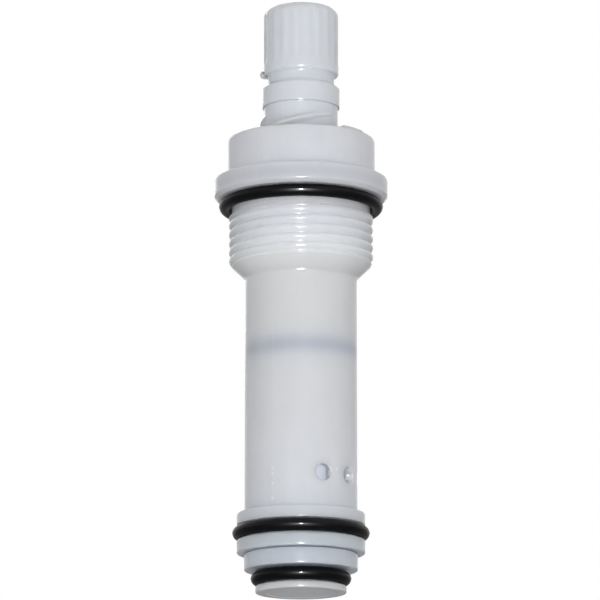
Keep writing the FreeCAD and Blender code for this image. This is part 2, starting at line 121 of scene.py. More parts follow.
def soft_min(first, second, softness):
    """Smaller of two arrays, with the corner between them rounded over the softness."""
    share = np.clip(0.5 + 0.5 * (second - first) / softness, 0, 1)
    return second + (first - second) * share - softness * share * (1 - share)


def smooth_step(value, low, high):
    """0 below low, 1 above high and t * t * (3 - 2 t) between them."""
    share = np.clip((value - low) / (high - low), 0, 1)
    return share * share * (3 - 2 * share)


def wall_quads(rows, columns, closed_rows=False):
    """Quads of a grid that is closed round its columns, facing out where rows go up outside."""
    count = rows if closed_rows else rows - 1
    row = np.arange(count)[:, None]
    column = np.arange(columns)[None, :]
    above, beside = (row + 1) % rows, (column + 1) % columns
    corners = [row * columns + column, row * columns + beside,
               above * columns + beside, above * columns + column]
    return np.stack([np.broadcast_to(c, (count, columns)) for c in corners], axis=-1)


def shell_object(name, points, faces):
    """Mesh object from an (n, 3) array in millimetres and a list of face index arrays."""
    used, renumbered = np.unique(np.concatenate([f.ravel() for f in faces]), return_inverse=True)
    splits = np.cumsum([f.size for f in faces])[:-1]
    parts = [part.reshape(f.shape) for part, f in zip(np.split(renumbered, splits), faces)]
    sizes = np.concatenate([np.full(len(part), part.shape[1]) for part in parts])
    loops = np.concatenate([part.ravel() for part in parts])
    mesh = bpy.data.meshes.new(name)
    mesh.vertices.add(len(used))
    mesh.vertices.foreach_set("co", (points[used] * MM).astype(np.float32).ravel())
    mesh.loops.add(len(loops))
    mesh.loops.foreach_set("vertex_index", loops.astype(np.int32))
    mesh.polygons.add(len(sizes))
    starts = np.concatenate([[0], np.cumsum(sizes)[:-1]])
    mesh.polygons.foreach_set("loop_start", starts.astype(np.int32))
    mesh.polygons.foreach_set("use_smooth", np.ones(len(sizes), bool))
    mesh.update(calc_edges=True)
    mesh.validate()
    made = bpy.data.objects.new(name, mesh)
    bpy.context.scene.collection.objects.link(made)
    return made


THREAD_PITCH = 25.4 / 18
THREAD_DEPTH = 0.70
THREAD_ROW = 0.11
CREST_AT_LEFT = 56.82


def body_thread(azimuth, level, wall):
    """Radius of the threaded wall: a right-hand helix of rounded crests cut into the wall.

    phase = level / pitch - azimuth / turn, and the thread is root + depth * |cos(pi phase)|, so
    its crests are round and its roots sharp. Where the wall is lower the wall stays, which lets
    the thread run out on the shoulder.
    """
    phase = (level - CREST_AT_LEFT) / THREAD_PITCH - (azimuth - math.pi) / (2 * math.pi)
    crest = np.abs(np.cos(math.pi * phase)) ** 0.9
    cut = THREAD_RADIUS - THREAD_DEPTH * (1 - crest)
    faded = cut + 2 * THREAD_DEPTH * smooth_step(level, THREAD_TOP - 0.25, THREAD_TOP + 0.1)
    return soft_min(wall, faded, 0.10)


NUT_LEAD = 10.0
NUT_STARTS = 3
RIDGE_START = 61.85
GROOVE_FOOT = 0.80
GROOVE_CREST = 0.42
GROOVE_DEPTH = 1.27


def nut_thread(azimuth, level):
    """Radius of the nut: three right-hand grooves, deepest within the crest half-width of a turn.

    The distance to the nearest groove's middle is |((level - lead * azimuth / turn) mod p) - p/2|
    with p = lead / starts, and the depth falls in a straight line from crest to foot half-width.
    """
    apart = NUT_LEAD / NUT_STARTS
    shifted = level - RIDGE_START - NUT_LEAD * (azimuth / (2 * math.pi)) + apart / 2
    distance = np.abs(np.mod(shifted, apart) - apart / 2)
    share = np.clip((GROOVE_FOOT - distance) / (GROOVE_FOOT - GROOVE_CREST), 0, 1)
    return NUT_BORE + GROOVE_DEPTH * share


port_levels = PORT_HEIGHT + np.linspace(-PORT_HALF_CELL, PORT_HALF_CELL, PORT_COLUMNS + 1)
sleeve_stretches = {
    "collars": open_outline([
        (BORE_RADIUS, MOUTH + 1.5, 0), (BORE_RADIUS, MOUTH + 0.5, 0.1),
        (BORE_RADIUS + 0.5, MOUTH, 0.1), (COLLAR_RADIUS, MOUTH, 0.22),
        (COLLAR_RADIUS, LOWER_COLLAR_TOP, 0.08), (SEAL_GROOVE_RADIUS, LOWER_COLLAR_TOP, 0.12),
        (SEAL_GROOVE_RADIUS, SEAL_GROOVE_TOP, 0.12), (COLLAR_RADIUS, SEAL_GROOVE_TOP, 0.08),
        (COLLAR_RADIUS, COLLAR_TOP, 0.22), (TUBE_RADIUS, COLLAR_TOP, 0.25),
        (TUBE_RADIUS, COLLAR_TOP + 1.5, 0)]),
    "port_band": np.column_stack([np.full(len(port_levels), TUBE_RADIUS), port_levels]),
    "tube": np.column_stack([np.full(14, TUBE_RADIUS), np.linspace(21, TUBE_TOP - 1.2, 14)]),
    "thread": walked(open_outline([
        (TUBE_RADIUS, TUBE_TOP - 1.0, 0), (TUBE_RADIUS, TUBE_TOP, 1.0),
        (THREAD_RADIUS, THREAD_BOTTOM, 1.6), (THREAD_RADIUS, THREAD_TOP, 0.1),
        (NECK_RADIUS, THREAD_TOP + 0.12, 0)]), THREAD_ROW),
    "flange": open_outline([
        (NECK_RADIUS, THREAD_TOP + 0.3, 0), (NECK_RADIUS, NECK_TOP, 0.2),
        (FLANGE_RADIUS - 0.55, NECK_TOP, 0.2), (FLANGE_RADIUS, NECK_TOP + 0.55, 0.3),
        (FLANGE_RADIUS, FLANGE_TOP, 0.4), (BONNET_RADIUS, FLANGE_TOP, 0.6),
        (BONNET_RADIUS, BONNET_TOP, 0.45), (10.75, BONNET_TOP, 0)]),
    "top": np.column_stack([
        np.array([10.68, 10.6, 10.5, 10.3, 9.4, 8.5, 8.3, 8.2, 8.12, 7.6, 7.2]),
        np.full(11, BONNET_TOP)]),
    "nut": np.column_stack([np.full(34, NUT_BORE), np.linspace(BONNET_TOP, NUT_BOTTOM, 34)]),
    "bore": open_outline([
        (BORE_RADIUS - 0.05, NUT_BOTTOM, 0), (BORE_RADIUS, NUT_BOTTOM - 0.05, 0),
        (BORE_RADIUS, 40, 0), (BORE_RADIUS, 21, 0)]),
    "bore_band": np.column_stack([np.full(len(port_levels), BORE_RADIUS), port_levels[::-1]]),
}
sleeve_rows = np.vstack(list(sleeve_stretches.values()))
stretch_ends = np.cumsum([len(rows) for rows in sleeve_stretches.values()])
stretch_slice = {name: slice(end - len(rows), end)
                 for (name, rows), end in zip(sleeve_stretches.items(), stretch_ends)}

sleeve_azimuth = np.tile(PORT_FIRST + COLUMN_STEP * np.arange(COLUMNS), (len(sleeve_rows), 1))
sleeve_radius = np.repeat(sleeve_rows[:, :1], COLUMNS, axis=1)
sleeve_level = np.repeat(sleeve_rows[:, 1:], COLUMNS, axis=1)

threaded = stretch_slice["thread"]
sleeve_radius[threaded] = body_thread(
    sleeve_azimuth[threaded], sleeve_level[threaded], sleeve_radius[threaded])

nut = stretch_slice["nut"]
sleeve_radius[nut] = nut_thread(sleeve_azimuth[nut], sleeve_level[nut])
lead_in = 0.35 - np.minimum(BONNET_TOP - sleeve_level[nut], sleeve_level[nut] - NUT_BOTTOM)
sleeve_radius[nut] = np.maximum(sleeve_radius[nut], NUT_BORE + np.clip(lead_in, 0, None))

PAD_FIRST = math.radians(-52.5)
PAD_SWEEP = math.radians(27.5)
PAD_INNER = 8.20
PAD_OUTER = 10.60
PAD_HEIGHT = 0.45
top = stretch_slice["top"]
around_pad = np.mod(sleeve_azimuth[top] - PAD_FIRST + math.pi, 2 * math.pi) - math.pi
on_pad = smooth_step(around_pad, -COLUMN_STEP / 2, COLUMN_STEP / 2)
on_pad *= 1 - smooth_step(around_pad, PAD_SWEEP - COLUMN_STEP / 2, PAD_SWEEP + COLUMN_STEP / 2)
across_pad = smooth_step(sleeve_radius[top], PAD_INNER - 0.05, PAD_INNER + 0.05)
across_pad *= 1 - smooth_step(sleeve_radius[top], PAD_OUTER - 0.05, PAD_OUTER + 0.05)
sleeve_level[top] += PAD_HEIGHT * on_pad * across_pad

HOLE_HALF = 6
CELL_HALF = PORT_COLUMNS // 2
PORT_RIM = 0.07


def square_to_circle(across, up):
    """Angle that spreads the points of each square ring of a grid evenly round a circle.

    On a ring of half-width t the right side gives (pi / 4) * up / t, and the other three sides
    follow it a quarter turn apart.
    """
    half = np.maximum(np.maximum(np.abs(across), np.abs(up)), 1)
    quarter = math.pi / 4
    sides = [across == half, up == half, across == -half, up == -half]
    angles = [quarter * up / half, 2 * quarter - quarter * across / half,
              4 * quarter - quarter * up / half, -2 * quarter + quarter * across / half]
    return np.select(sides, angles, 0.0), half


def open_port(band, centre_column, wall, rim, upward):
    """Bend the grid cell round a port so that its inner square lies on the port's circle.

    Between the hole's square ring and the edge of the cell each point moves in a straight line
    from circle to square: place = circle + (square - circle) * s.
    """
    offsets = np.arange(-CELL_HALF, CELL_HALF + 1)
    across, up = np.meshgrid(offsets, offsets)
    angle, half = square_to_circle(across, up)
    share = np.clip((half - HOLE_HALF) / (CELL_HALF - HOLE_HALF), 0, 1)
    aside = wall * np.sin(across * COLUMN_STEP)
    raised = up * PORT_HALF_CELL / CELL_HALF
    round_aside = rim * np.cos(angle)
    round_raised = rim * np.sin(angle)
    new_aside = round_aside + (aside - round_aside) * share
    new_raised = round_raised + (raised - round_raised) * share
    columns = (centre_column + offsets) % COLUMNS
    levels = np.arange(band.start, band.stop)[:: 1 if upward else -1]
    place = np.ix_(levels, columns)
    centre = PORT_FIRST + centre_column * COLUMN_STEP
    sleeve_azimuth[place] = centre + np.arcsin(new_aside / wall)
    sleeve_level[place] = PORT_HEIGHT + new_raised
    return levels, columns


def ring_places(levels, columns):
    """Grid indices round the hole's square ring, once round from its right side."""
    offsets = np.arange(-CELL_HALF, CELL_HALF + 1)
    across, up = np.meshgrid(offsets, offsets)
    angle, half = square_to_circle(across, up)
    on_ring = half == HOLE_HALF
    order = np.argsort(np.mod(angle[on_ring] + 1e-9, 2 * math.pi))
    index = levels[:, None] * COLUMNS + columns[None, :]
    return index[on_ring][order], np.mod(angle[on_ring][order], 2 * math.pi)


sleeve_faces = wall_quads(len(sleeve_rows), COLUMNS, closed_rows=True)
keep_face = np.ones(sleeve_faces.shape[:2], bool)
port_rings = []
for port in range(PORT_COUNT):
    centre_column = port * PORT_SPACING
    rings = {}
    for side, wall, rim in (("port_band", TUBE_RADIUS, PORT_RADIUS + PORT_RIM),
                            ("bore_band", BORE_RADIUS, PORT_RADIUS)):
        band = stretch_slice[side]
        levels, columns = open_port(band, centre_column, wall, rim, side == "port_band")
        rings[side], ring_angles = ring_places(levels, columns)
        middle = (band.start + band.stop - 1) // 2
        hole_rows = np.arange(middle - HOLE_HALF, middle + HOLE_HALF)
        hole_columns = (centre_column + np.arange(-HOLE_HALF, HOLE_HALF)) % COLUMNS
        keep_face[np.ix_(hole_rows, hole_columns)] = False
    port_rings.append((PORT_FIRST + centre_column * COLUMN_STEP, rings, ring_angles))

sleeve_points = np.stack([
    sleeve_radius * np.cos(sleeve_azimuth), sleeve_radius * np.sin(sleeve_azimuth),
    sleeve_level], axis=-1).reshape(-1, 3)
sleeve_face_list = [sleeve_faces[keep_face]]
for azimuth, rings, ring_angles in port_rings:
    rim_angles = np.radians([30, 60, 90])[:, None]
    spread = PORT_RADIUS + PORT_RIM * (1 - np.sin(rim_angles))
    aside = spread * np.cos(ring_angles)
    depth = np.sqrt(TUBE_RADIUS ** 2 - aside ** 2) - PORT_RIM * (1 - np.cos(rim_angles))
    raised = PORT_HEIGHT + spread * np.sin(ring_angles)
    wall_points = np.stack([depth * math.cos(azimuth) - aside * math.sin(azimuth),
                            depth * math.sin(azimuth) + aside * math.cos(azimuth),
                            raised + 0 * depth], axis=-1)
    first = len(sleeve_points)
    sleeve_points = np.vstack([sleeve_points, wall_points.reshape(-1, 3)])
    ring_count = len(ring_angles)
    middle_rings = first + np.arange(3 * ring_count).reshape(3, ring_count)
    ladder = np.vstack([rings["port_band"][None], middle_rings, rings["bore_band"][None]])
    ahead = np.roll(ladder, -1, axis=1)
    quads = np.stack([ladder[:-1], ahead[:-1], ahead[1:], ladder[1:]], axis=-1)
    sleeve_face_list.append(quads.reshape(-1, 4))

sleeve_skin = shell_object("sleeve_skin", sleeve_points, sleeve_face_list)
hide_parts("sleeve_body")
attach(sleeve_skin, "sleeve")


class Wire:
    """One output of a shader's nodes. Sums, products and powers of wires add Math nodes."""

    def __init__(self, tree, socket=None):
        self.tree = tree
        self.socket = socket

    def node(self, kind, settings=None, inputs=None, output=0):
        """Add a node of this kind: its settings first, then the values or links of its sockets."""
        made = self.tree.nodes.new(kind)
        for key, value in (settings or {}).items():
            if key == "stops":
                for stop, (place, level) in zip(made.color_ramp.elements, value):
                    stop.position = place
                    stop.color = (level, level, level, 1)
            else:
                setattr(made, key, value)
        for key, value in (inputs or {}).items():
            if isinstance(value, Wire):
                self.tree.links.new(value.socket, made.inputs[key])
            else:
                made.inputs[key].default_value = value
        return Wire(self.tree, made.outputs[output])

    def math(self, operation, other=0.0):
        """One Math node on this wire and another wire or number."""
        return self.node("ShaderNodeMath", {"operation": operation}, {0: self, 1: other})

    def __add__(self, other):
        return self.math("ADD", other)

    __radd__ = __add__

    def __sub__(self, other):
        return self.math("SUBTRACT", other)

    def __rsub__(self, other):
        return self.node("ShaderNodeMath", {"operation": "SUBTRACT"}, {0: other, 1: self})

    def __mul__(self, other):
        return self.math("MULTIPLY", other)

    __rmul__ = __mul__

    def __truediv__(self, other):
        return self.math("DIVIDE", other)

    def bell(self, middle, width):
        """exp(-((x - middle) / width) ** 2), a soft bump of that half-width."""
        apart = (self - middle) / width
        return (0 - apart * apart).math("EXPONENT")

    def noise(self, scale, detail):
        """Noise texture read at this place."""
        return self.node("ShaderNodeTexNoise",
                         inputs={"Vector": self, "Scale": scale, "Detail": detail})

    def tinted(self, colour, other):
        """Colour that goes from the first to the other as this wire goes from 0 to 1."""
        return self.node("ShaderNodeMix", {"data_type": "RGBA"}, {0: self, 6: colour, 7: other}, 2)


def new_material(name):
    """Material with an empty tree: the wire to start from and its Principled shader."""
    material = bpy.data.materials.new(name)
    material.use_nodes = True
    tree = material.node_tree
    tree.nodes.clear()
    shader = tree.nodes.new("ShaderNodeBsdfPrincipled")
    out = tree.nodes.new("ShaderNodeOutputMaterial")
    tree.links.new(shader.outputs["BSDF"], out.inputs["Surface"])
    return material, Wire(tree), shader


def set_constants(shader, values):
    """Numbers and colours that are the same all over a surface, set on the shader's sockets."""
    for key, value in values.items():
        shader.inputs[key].default_value = value


PARTING_TURN = math.radians(-120)
SEAL_SHADOW_LEVEL = 36.9 * MM
BEAD_LEVELS = (17.9, 17.15, 15.6, 13.4)


def moulded_acetal(name, pale, deep, painted_shade_bands=(), parting=1.0, seal_shadow=0.0, glow=None, glint_bump=None):
    """White acetal as it leaves a polished mould.

    Colour: a cloudy tone from two noises, one drawn out along the flow, between pale and deep.
    Each band of (level, half width, amount, colour) goes over it by amount * exp(-(dz / w)^2):
    painted shade and painted light by height, darker where less light falls and lighter where
    more does. A black seal behind a thin wall shows as a soft band of painted shade, the sum of
    a narrow and a wide bell.
    Surface: faint rings from the turned mould, a fine pebble, a raised line with small beads
    where the halves of the mould met, and one small bump at (x, y, z). In the colour the beads
    and that bump are whitened as painted highlights, and the line a little.
    Glow: within the radius given first, the surface beside the ports shines by the amount given
    second, for the light that the thin wall lets through to the bore.
    """
    material, start, shader = new_material(name)
    place = start.node("ShaderNodeTexCoord", output="Object")
    parts = start.node("ShaderNodeSeparateXYZ", inputs={0: place})
    across_x, across_y, level = [Wire(start.tree, parts.socket.node.outputs[axis])
                                 for axis in range(3)]
    cloud = place.noise(260.0, 3.0)
    drawn = start.node("ShaderNodeMapping", inputs={"Vector": place, "Scale": (1.0, 1.0, 0.12)})
    flow = drawn.noise(620.0, 2.0)
    tone = cloud * 0.9 + flow * 0.6 - 0.25
    colour = tone.tinted(deep + (1,), pale + (1,))
    # Painted shade and painted light, one band of height at a time.
    for middle, half_width, amount, tint in painted_shade_bands:
        colour = (level.bell(middle * MM, half_width * MM) * amount).tinted(colour, tint + (1,))
    if seal_shadow:
        band = (level.bell(SEAL_SHADOW_LEVEL, 0.0013) * 0.55
                + level.bell(SEAL_SHADOW_LEVEL, 0.0030) * 0.30)
        colour = (band * seal_shadow).tinted(colour, (0.30, 0.37, 0.48, 1))
    off_plane = across_x * math.sin(PARTING_TURN) - across_y * math.cos(PARTING_TURN)
    line = off_plane.bell(0.0, 0.00009) * parting
    beads = sum((level.bell(bead_and_glint * MM, 0.00020) for bead_and_glint in BEAD_LEVELS[1:]),
                level.bell(BEAD_LEVELS[0] * MM, 0.00020))
    bead_and_glint = off_plane.bell(0.0, 0.00016) * beads * parting
    if glint_bump:
        bead_and_glint = bead_and_glint + (across_x.bell(glint_bump[0] * MM, 0.00018) * across_y.bell(glint_bump[1] * MM, 0.00025)
                       * level.bell(glint_bump[2] * MM, 0.00020))
    if glow:
        inside = (across_x * across_x + across_y * across_y).math("LESS_THAN", (glow[0] * MM) ** 2)
        lit = inside * level.bell(PORT_HEIGHT * MM, 0.010) * glow[1]
        light = lit.tinted((0, 0, 0, 1), pale + (1,))
        start.tree.links.new(light.socket, shader.inputs["Emission Color"])
        set_constants(shader, {"Emission Strength": 1.0})
    # Painted highlights: the beads and the small bump go toward white, and the parting line a
    # little.
    colour = (bead_and_glint * 0.9 + line * 0.10).tinted(colour, (1, 1, 1, 1))
    start.tree.links.new(colour.socket, shader.inputs["Base Color"])
    pebble = place.noise(7000.0, 2.0)
    dimple = place.noise(1100.0, 2.0)
    rings = (level * (2 * math.pi / 0.00042)).math("SINE")
    height = (pebble * 0.000004 + dimple * 0.000014 + rings * 0.0000008 + line * 0.000012
              + bead_and_glint * 0.00005)
    rounded = start.node("ShaderNodeBevel", {"samples": 6}, {"Radius": 0.00012})
    bump = start.node("ShaderNodeBump",
                      inputs={"Height": height, "Distance": 1.0, "Normal": rounded})
    start.tree.links.new(bump.socket, shader.inputs["Normal"])
    gloss = 0.12 + cloud * 0.12
    start.tree.links.new(gloss.socket, shader.inputs["Roughness"])
    set_constants(shader, {"IOR": 1.48, "Specular IOR Level": 0.36, "Subsurface Weight": 1.0,
                           "Subsurface Radius": (0.98, 0.99, 1.0), "Subsurface Scale": 0.0026})
    return material


def dress(piece, material):
    """Give every slot of a piece one material."""
    piece.data.materials.clear()
    piece.data.materials.append(material)


# Painted shade and painted light by height: a dark bluish grey toward the mouth and a darker band
# at the flange, lighter bands on the shoulder and the upper tube. The small bump between two ports
# is whitened as a painted highlight.
dress(sleeve_skin, moulded_acetal(
    "sleeve acetal", (0.83, 0.845, 0.88), (0.75, 0.77, 0.82), seal_shadow=0.55,
    glint_bump=(5.38, -6.66, 17.95),
    painted_shade_bands=((5.5, 6.5, 1.0, (0.61, 0.67, 0.73)), (50.3, 3.4, 0.85, (0.90, 0.92, 0.965)),
           (42.0, 14.0, 0.7, (0.88, 0.905, 0.955)),
           (62.4, 1.5, 0.65, (0.60, 0.62, 0.665)))))


def turned_skin(outline, columns, shape=None):
    """Closed surface of revolution of an outline whose two ends lie on the axis.

    A point is (r cos a, r sin a, z), where the shape may change r for its azimuth and level. The
    rows on the axis shrink to one point each, which fans of triangles close.
    """
    azimuth = np.tile(2 * math.pi * np.arange(columns) / columns, (len(outline) - 2, 1))
    radius = np.repeat(outline[1:-1, :1], columns, axis=1)
    level = np.repeat(outline[1:-1, 1:], columns, axis=1)
    if shape:
        radius = shape(azimuth, level, radius)
    points = np.stack([radius * np.cos(azimuth), radius * np.sin(azimuth), level], axis=-1)
    rows = len(outline) - 2
    ends = np.array([[0, 0, outline[0, 1]], [0, 0, outline[-1, 1]]])
    first, last = rows * columns, rows * columns + 1
    around = np.arange(columns)
    beside = (around + 1) % columns
    low_fan = np.column_stack([np.full(columns, first), beside, around])
    top = (rows - 1) * columns
    high_fan = np.column_stack([top + around, top + beside, np.full(columns, last)])
    walls = wall_quads(rows, columns).reshape(-1, 4)
    return np.vstack([points.reshape(-1, 3), ends]), [walls, low_fan, high_fan]


# Spindle: the turning half, moulded in one piece in the same white acetal, with the fluted
# broach for the handle, the stop collar, the three-start lifting screw, and the rod whose tip
# snaps into the plunger.
SCREW_CORE = 5.68
SCREW_BOTTOM = 61.04
SCREW_TOP = 74.01
END_RUN = 1.8
RIDGE_FOOT = 0.68
RIDGE_CREST = 0.30
BROACH_BOTTOM = 80.67
BROACH_RADIUS = 5.80
FLUTE_BOTTOM = 82.42
STEM_TOP = 91.41
FLUTES = 20
FLUTE_DEPTH = 0.18
HOLE_RADIUS = 1.90
HOLE_BOTTOM = 76.41
SPINDLE_COLUMNS = 240


def spindle_shape(azimuth, level, radius):
    """Ridges of the lifting screw and flutes of the broach, worked into the turned outline.

    A ridge adds depth * (foot - d) / (foot - crest), held to 0..1, for a distance d to its helix,
    and runs out in a straight line over its last 1.8 mm at both ends. A flute takes away
    depth * (1 - |sin(n a / 2)|^1.6)^0.8 and runs out at its foot and below the crown.
    """
    apart = NUT_LEAD / NUT_STARTS
    shifted = level - RIDGE_START - NUT_LEAD * azimuth / (2 * math.pi) + apart / 2
    distance = np.abs(np.mod(shifted, apart) - apart / 2)
    ridge = GROOVE_DEPTH * np.clip((RIDGE_FOOT - distance) / (RIDGE_FOOT - RIDGE_CREST), 0, 1)
    trimmed = ridge * np.clip((SCREW_TOP - level) / END_RUN, 0, 1)
    trimmed = trimmed * np.clip((level - SCREW_BOTTOM) / END_RUN, 0, 1)
    on_core = np.abs(radius - SCREW_CORE) < 0.005
    radius = np.where(on_core, radius + trimmed, radius)
    wave = np.abs(np.sin(azimuth * FLUTES / 2))
    flute = FLUTE_DEPTH * np.clip(1 - wave ** 1.6, 0, 1) ** 0.8
    flute = flute * smooth_step(level, FLUTE_BOTTOM - 0.6, FLUTE_BOTTOM + 0.8)
    flute = flute * (1 - 0.85 * smooth_step(level, STEM_TOP - 1.8, STEM_TOP - 0.4))
    outside = smooth_step(radius, 3.4, 4.6)
    return radius - flute * outside


spindle_outline = np.vstack([
    open_outline([
        (0, 33.90, 0), (2.00, 33.90, 0.1), (2.75, 34.60, 0.2), (2.75, 37.10, 0.1),
        (2.00, 37.10, 0.1), (2.00, 39.40, 0.1), (4.00, 39.40, 0.3), (4.00, 60.54, 0.3),
        (SCREW_CORE, 60.54, 0.1),
        (SCREW_CORE, 60.80, 0)], steps=3),
    np.column_stack([np.full(134, SCREW_CORE), np.linspace(60.9, 74.2, 134)]),
    open_outline([
        (SCREW_CORE, 74.4, 0), (SCREW_CORE, 75.47, 0.14), (5.97, 75.47, 0.14), (5.97, 78.43, 0.35),
        (5.12, 79.15, 0.5), (5.12, BROACH_BOTTOM, 0.3), (BROACH_RADIUS, BROACH_BOTTOM, 0.3),
        (BROACH_RADIUS, 81.6, 0)], steps=4),
    np.column_stack([np.full(9, BROACH_RADIUS), np.linspace(81.9, 83.3, 9)]),
    open_outline([
        (BROACH_RADIUS, 84.0, 0), (BROACH_RADIUS, STEM_TOP, 1.6), (2.40, STEM_TOP, 0.12),
        (HOLE_RADIUS, 90.91, 0.12), (HOLE_RADIUS, HOLE_BOTTOM, 0.05),
        (0, HOLE_BOTTOM - 0.95, 0)], steps=9),
])
spindle_points, spindle_faces = turned_skin(spindle_outline, SPINDLE_COLUMNS, spindle_shape)

NUB_RADIUS = 0.65
NUB_ASIDE = -5.70
NUB_LEVEL = 80.87
NUB_COLUMNS = 24
NUB_ROWS = 11
nub_turn = np.linspace(0, 2 * math.pi, NUB_COLUMNS, endpoint=False)[None, :]
nub_lean = np.linspace(math.radians(-80), math.radians(80), NUB_ROWS)[:, None]
nub_points = np.stack([
    NUB_ASIDE - NUB_RADIUS * np.cos(nub_lean) * np.cos(nub_turn),
    -NUB_RADIUS * np.cos(nub_lean) * np.sin(nub_turn),
    NUB_LEVEL + NUB_RADIUS * np.sin(nub_lean) + 0 * nub_turn], axis=-1).reshape(-1, 3)
nub_first = len(spindle_points)
nub_end = nub_first + NUB_ROWS * NUB_COLUMNS
nub_poles = np.array([[NUB_ASIDE, 0, NUB_LEVEL - NUB_RADIUS],
                      [NUB_ASIDE, 0, NUB_LEVEL + NUB_RADIUS]])
spindle_points = np.vstack([spindle_points, nub_points, nub_poles])
nub_around = np.arange(NUB_COLUMNS)
nub_beside = (nub_around + 1) % NUB_COLUMNS
nub_walls = wall_quads(NUB_ROWS, NUB_COLUMNS).reshape(-1, 4) + nub_first
nub_low = np.column_stack([np.full(NUB_COLUMNS, nub_end), nub_first + nub_beside,
                           nub_first + nub_around])
nub_top = nub_end - NUB_COLUMNS
nub_high = np.column_stack([nub_top + nub_around, nub_top + nub_beside,
                            np.full(NUB_COLUMNS, nub_end + 1)])
spindle_skin = shell_object(
    "spindle_skin", spindle_points, spindle_faces + [nub_walls, nub_low, nub_high])
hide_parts("spindle")
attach(spindle_skin, "spindle_group")
# Painted shade: a darker band round 71.6 mm, where the spindle comes out of the bonnet.
dress(spindle_skin, moulded_acetal(
    "spindle acetal", (0.83, 0.855, 0.90), (0.77, 0.80, 0.85), parting=0.5,
    painted_shade_bands=((71.6, 1.6, 0.9, (0.64, 0.65, 0.69)),)))


# Plunger: the sliding half that closes the mouth of the sleeve. A round stem joins its flange to
# the piston that the spindle's tip snaps into; only its foot and flange show below the sleeve.
PLUNGER_COLUMNS = 192

plunger_outline = open_outline([
    (0, 0.14, 0), (5.10, 0.14, 0.3), (5.45, 0, 0.15), (6.90, 0, 0.22), (6.90, 1.00, 0.1),
    (5.50, 1.00, 0.15), (5.50, 3.40, 0.15), (8.62, 3.40, 0.22), (8.62, 5.90, 0.22),
    (7.10, 5.90, 0.1), (7.10, 7.30, 0.3), (3.80, 7.30, 1.2), (3.80, 34.50, 1.2),
    (7.00, 34.50, 0.25), (7.00, 35.80, 0.1), (5.27, 35.80, 0.15), (5.27, 38.00, 0.15),
    (7.00, 38.00, 0.1), (7.00, 39.30, 0.25), (2.10, 39.30, 0.2), (2.10, 37.20, 0.1),
    (2.85, 37.20, 0.1), (2.85, 34.50, 0.1), (2.15, 33.60, 0.1), (0, 33.60, 0)], steps=4)
plunger_points, plunger_faces = turned_skin(plunger_outline, PLUNGER_COLUMNS)
plunger_skin = shell_object("plunger_skin", plunger_points, plunger_faces)
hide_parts("plunger")
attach(plunger_skin, "plunger_group")
# Painted light: the foot and the stem are lightened by height, and the stem glows near the ports
# for light that comes through the sleeve's wall.
dress(plunger_skin, moulded_acetal(
    "plunger acetal", (0.66, 0.71, 0.79), (0.60, 0.65, 0.73), parting=0.4, glow=(4.2, 0.36),
    painted_shade_bands=((0.2, 1.6, 0.9, (0.84, 0.86, 0.89)), (24.0, 9.0, 1.0, (0.86, 0.87, 0.89)))))


# Seals: four rings of black nitrile rubber, moulded with a faint flash line round their middle
# and wiped with silicone grease, which gives them small sharp lights.
def greased_rubber(name, level_of_flash):
    """Black rubber: near-black colour with a fine grain, a flash line at mid height, and a film
    of grease whose coat comes and goes with a slow noise."""
    material, start, shader = new_material(name)
    place = start.node("ShaderNodeTexCoord", output="Object")
    parts = start.node("ShaderNodeSeparateXYZ", inputs={0: place})
    level = Wire(start.tree, parts.socket.node.outputs[2])
    grain = place.noise(5200.0, 3.0)
    film = place.noise(420.0, 2.0)
    colour = grain.tinted((0.0015, 0.0015, 0.002, 1), (0.006, 0.006, 0.008, 1))
    start.tree.links.new(colour.socket, shader.inputs["Base Color"])
    flash = level.bell(level_of_flash, 0.00004)
    height = grain * 0.000005 + flash * 0.000012
    bump = start.node("ShaderNodeBump", inputs={"Height": height, "Distance": 1.0})
    start.tree.links.new(bump.socket, shader.inputs["Normal"])
    rough = 0.30 + grain * 0.16
    start.tree.links.new(rough.socket, shader.inputs["Roughness"])
    coat = 0.07 + film * 0.22
    start.tree.links.new(coat.socket, shader.inputs["Coat Weight"])
    set_constants(shader, {"Specular IOR Level": 0.03, "Coat Roughness": 0.09, "Coat IOR": 1.4})
    return material


def ring_seal(name, node, body, middle_radius, level, section):
    """Moulded ring: radius + s cos b across and s sin b up, with a flash ridge at b = 0, pi.

    The flash adds 0.03 mm * exp(-(b / 0.09)^2) to s at both sides of the cord.
    """
    turn = 2 * math.pi * np.arange(192)[None, :] / 192
    lean = 2 * math.pi * np.arange(48)[:, None] / 48
    off_flash = np.minimum(np.abs(np.sin(lean)), 1)
    cord = section / 2 - 0.03 + 0.03 * np.exp(-(off_flash / 0.09) ** 2)
    radius = middle_radius + cord * np.cos(lean) + 0 * turn
    points = np.stack([radius * np.cos(turn), radius * np.sin(turn),
                       level + cord * np.sin(lean) + 0 * turn], axis=-1).reshape(-1, 3)
    made = shell_object(name, points, [wall_quads(48, 192, closed_rows=True).reshape(-1, 4)])
    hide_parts(node)
    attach(made, body)
    dress(made, greased_rubber(name.replace("_", " "), level * MM))


for seal, body in (("flange_o_ring", "sleeve"), ("sleeve_o_ring", "sleeve"),
                   ("plunger_o_ring", "plunger_group"), ("piston_o_ring", "plunger_group")):
    low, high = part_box(seal)
    section = (high.z - low.z) / MM
    middle_radius = high.x / MM - section / 2
    ring_seal(seal + "_skin", seal, body, middle_radius, (low.z + high.z) / 2 / MM, section)


# Studio: a one-sided pale floor, which the camera sees through from beneath, a soft light beside
# the lens, large ones overhead and behind, two small lamps that only give highlights, the second
# for the grease on the seals, and an even surround. The camera looks up at the stem.
CAMERA_DISTANCE = 0.649
CAMERA_LOOKS_UP = math.radians(11.95)
AIM_HEIGHT = 0.04527
AIM_ASIDE = -0.00015
SENSOR_WIDTH = 36.0
FOCAL_PIXELS = 4237
PICTURE_WIDTH = 600

